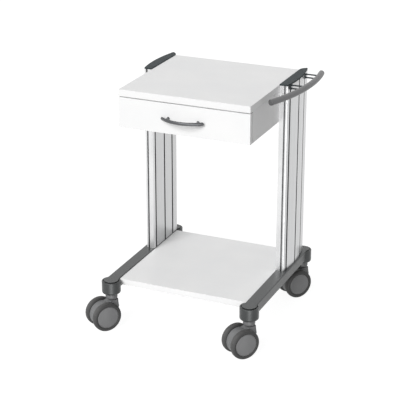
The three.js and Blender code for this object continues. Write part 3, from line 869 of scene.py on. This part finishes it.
def make_slides():
    """Rolled channels with rounded bends and folded lips."""
    for hand, side in (("left", -1), ("right", 1)):
        for node, opens in ((f"cabinet_rail_{hand}", -side), (f"drawer_rail_{hand}", side)):
            low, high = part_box(node)
            web = low.x if opens > 0 else high.x
            middle = (high.z + low.z) / 2
            outline = slide_section((high.z - low.z) / 2 / MM, (high.x - low.x) / MM, opens)
            bm = prism(outline, low.y / MM, high.y / MM, along="y")
            bmesh.ops.translate(bm, vec=(web, 0, middle), verts=bm.verts)
            dress(node, bm)


# ---------------------------------------------------------------- casters
# In a caster's own frame the swivel axis is z, the wheels trail towards +X and the axle is along Y.


def caster_web():
    """The flat web round the hub, with rounded rims and a rounder back below the neck."""
    hub = arc((HUB["x"], HUB["z"]), HUB["radius"], *HUB["arc"], 60)
    back, shoulder = -NECK["radius"], WEB["shoulder"]
    outline = [(back, shoulder), (back, WEB["heel"])]
    outline += curve((back, WEB["heel"]), (back + 2, WEB["heel"] - 20), hub[0], 10)
    outline += hub[1:]
    outline += curve(hub[-1], (15, HUB["z"] + HUB["radius"] + 0.5), (WEB["front"], shoulder), 10)
    slab = prism(outline, -WEB["half"], WEB["half"], along="y")
    slab.normal_update()
    upright = [edge for edge in slab.edges
               if all(abs(vert.co.x - back * MM) < 0.01 * MM for vert in edge.verts)
               and abs(edge.verts[0].co.z - edge.verts[1].co.z) > 5 * MM]
    bmesh.ops.bevel(slab, geom=upright, offset=WEB["back_edge"] * MM, segments=8, profile=0.5, affect="EDGES")
    slab.normal_update()
    rims = [edge for edge in slab.edges
            if len(edge.link_faces) == 2
            and (abs(edge.link_faces[0].normal.y) > 0.9) != (abs(edge.link_faces[1].normal.y) > 0.9)]
    bmesh.ops.bevel(slab, geom=rims, offset=WEB["rim"] * MM, segments=4, profile=0.5, affect="EDGES")
    return slab


def caster_housing():
    """The swivel body: a round neck that flows into the web between the wheels, bored for stem and axle."""
    radius, top, low = NECK["radius"], NECK["top"], NECK["low"]
    neck = revolve(soften([
        (0, low - 6), (radius - 9, low - 6, 2), (radius, low + 2, 5), (radius, top, 1.8), (0, top),
    ], 1, steps=6), 72)
    bore, bore_low = STEM["radius"] + FIT, STEM["low"] - 2
    stem_hole = revolve([(0, bore_low), (bore, bore_low), (bore, top + 1), (0, top + 1)], 40)
    housing = combine(combine(caster_web(), neck), stem_hole, "DIFFERENCE")

    bore, reach = AXLE["radius"] + FIT, WEB["half"] + 4
    axle_hole = revolve([(0, -reach), (bore, -reach), (bore, reach), (0, reach)], 40)
    at_hub = Matrix.Translation((HUB["x"] * MM, 0, HUB["z"] * MM))
    across = at_hub @ Matrix.Rotation(math.radians(90), 4, "X")
    return combine(housing, transformed(axle_hole, across), "DIFFERENCE")


def caster_stem():
    """The pin that stands in the boss, with a collar between the boss and the neck."""
    radius, collar = STEM["radius"], STEM["collar"]
    low, high = NECK["top"] + 0.5, BOSS["bottom"] - FIT
    return revolve(soften([
        (0, STEM["low"]), (radius, STEM["low"], 0.8), (radius, low, 0.3), (collar, low, 0.5),
        (collar, high, 0.5), (radius, high, 0.3), (radius, STEM["high"], 0.8), (0, STEM["high"]),
    ], 0.5), 56)


def wheel_core():
    """The wheel's disc: a rim, a groove and a domed face outside, a blind bore inside."""
    bore, radius = AXLE["radius"] + FIT, CORE_RADIUS
    inside = [(0, 6), (bore, 6, 0), (bore, -10.5, 0.6), (30, -10.5, 1), (radius, -9, 1), (radius, 8.6, 0.8)]
    rim = [(radius - 0.6, 8.8, 0.3), (radius - 1.2, 8.1, 0.4), (radius - 2.2, 9.3, 1)]
    face = [(22.5, 10.6, 2), (21.9, 10.45, 0.4), (21.3, 10.75, 0.5), (9, 11.55, 4), (0, 11.6)]
    return revolve(soften(inside + rim + face, 0.5, steps=5), 96)


def wheel_tyre():
    """A solid tyre: rounded shoulders, a nearly flat tread and a bead round the disc."""
    seat = CORE_RADIUS + FIT
    shoulder = soften([
        (seat, 9.4, 0.4), (38.8, 9.6, 0.5), (39.6, 10.7, 1), (44.2, 11, 3), (48.3, 7.9, 3.5),
    ], 0.5, steps=6)
    crown = curve(shoulder[-1], (WHEEL_RADIUS, 6), (WHEEL_RADIUS, 0), 10)
    outer = shoulder + crown
    inner = [(radius, -y) for radius, y in reversed(outer[:-1])]
    return revolve(list(reversed(outer + inner)), 120)


def wheel_axle():
    radius, half = AXLE["radius"], AXLE["half"]
    return revolve(soften([(0, -half), (radius, -half, 0.6), (radius, half, 0.6), (0, half)], 0.5), 40)


def make_casters():
    """Every caster in its rest pose, its wheels centred on their joints."""
    housing = caster_housing()
    axle = wheel_axle()
    for name in CASTERS:
        low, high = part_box(f"{name}_stem")
        axis = Vector(JOINTS[f"{name}_wheel_a_spin"]["axis"])
        turn = Matrix.Rotation(math.atan2(-axis.x, axis.y), 4, "Z")
        at = Matrix.Translation(((low.x + high.x) / 2, (low.y + high.y) / 2, 0)) @ turn
        dress(f"{name}_stem", caster_stem(), at)
        dress(f"{name}_housing", housing.copy(), at, sharp=38)
        lay = Matrix.Rotation(math.radians(-90), 4, "X")
        hub = Matrix.Translation((HUB["x"] * MM, 0, HUB["z"] * MM))
        dress(f"{name}_axle", axle.copy(), at @ hub @ lay)
        for label, flip in (("a", 0), ("b", math.pi)):
            wheel = f"{name}_wheel_{label}"
            centre = Matrix.Translation(JOINTS[f"{wheel}_spin"]["pos_m"])
            spot = centre @ turn @ Matrix.Rotation(flip, 4, "Z") @ lay
            dress(f"{wheel}_core", wheel_core(), spot)
            dress(f"{wheel}_tyre", wheel_tyre(), spot)


# ---------------------------------------------------------------- camera, floor and light


def make_camera():
    """The camera at the picture's angle."""
    reference = Vector((BAY_MIDDLE, PANEL_LOW.y, PANEL_HIGH.z))
    position = reference + Vector(CAMERA["place"]) * BAY_WIDTH
    target = reference + Vector(CAMERA["target"]) * BAY_WIDTH
    data = bpy.data.cameras.new("camera")
    data.sensor_width = SENSOR_WIDTH
    data.lens = CAMERA["lens"]
    camera = bpy.data.objects.new("camera", data)
    bpy.context.scene.collection.objects.link(camera)
    aim = (target - position).to_track_quat("-Z", "Y").to_matrix().to_4x4()
    camera.matrix_world = Matrix.Translation(position) @ aim
    bpy.context.scene.camera = camera


def white_stage(name, bm, glow):
    """A white part of the studio that the camera and reflections see, but that neither lights nor shadows."""
    piece = as_object(name, bm)
    s = Surface(name, 0.9)
    tone = s.noise(1.5, 2)
    s.color(s.blend(s.spread(tone, 0, 1), 0.2, 0.22))
    s.shader.inputs["Emission Color"].default_value = (1, 1, 1, 1)
    s.shader.inputs["Emission Strength"].default_value = glow
    s.shader.inputs["Specular IOR Level"].default_value = 0
    s.material.cycles.emission_sampling = "NONE"
    piece.data.materials.append(s.material)
    piece.visible_diffuse = False
    piece.visible_shadow = False


def make_studio():
    """A pale floor in a white room."""
    floor = bmesh.new()
    bmesh.ops.create_circle(floor, cap_ends=True, segments=96, radius=FLOOR_RADIUS)
    bmesh.ops.translate(floor, vec=(0, 0, -0.2 * MM), verts=floor.verts)
    white_stage("studio_floor", floor, 0.92)
    room = bmesh.new()
    bmesh.ops.create_uvsphere(room, u_segments=48, v_segments=24, radius=ROOM_RADIUS)
    white_stage("studio_room", room, 1.0)


def make_sun(name, sun):
    data = bpy.data.lights.new(name, "SUN")
    data.energy = sun["strength"]
    data.angle = math.radians(sun["breadth"])
    light = bpy.data.objects.new(name, data)
    bpy.context.scene.collection.objects.link(light)
    light.rotation_mode = "QUATERNION"
    light.rotation_quaternion = Vector(sun["from"]).to_track_quat("Z", "Y")
    return light


def make_light():
    """Even light from all round, a soft sun from the front and a low one that shows only in reflections."""
    make_sun("key", KEY_SUN)
    make_sun("reflector", REFLECTED_SUN).visible_diffuse = False

    world = bpy.data.worlds.new("studio")
    world.use_nodes = True
    background = world.node_tree.nodes["Background"]
    background.inputs["Color"].default_value = (1, 1, 1, 1)
    background.inputs["Strength"].default_value = FILL_STRENGTH
    bpy.context.scene.world = world
    bpy.context.scene.view_settings.view_transform = "Standard"


# ---------------------------------------------------------------- the trolley

make_camera()
make_studio()
make_light()
make_boards()
make_columns()
make_runners()
make_push_handle()
make_drawer_furniture()
make_slides()
make_casters()
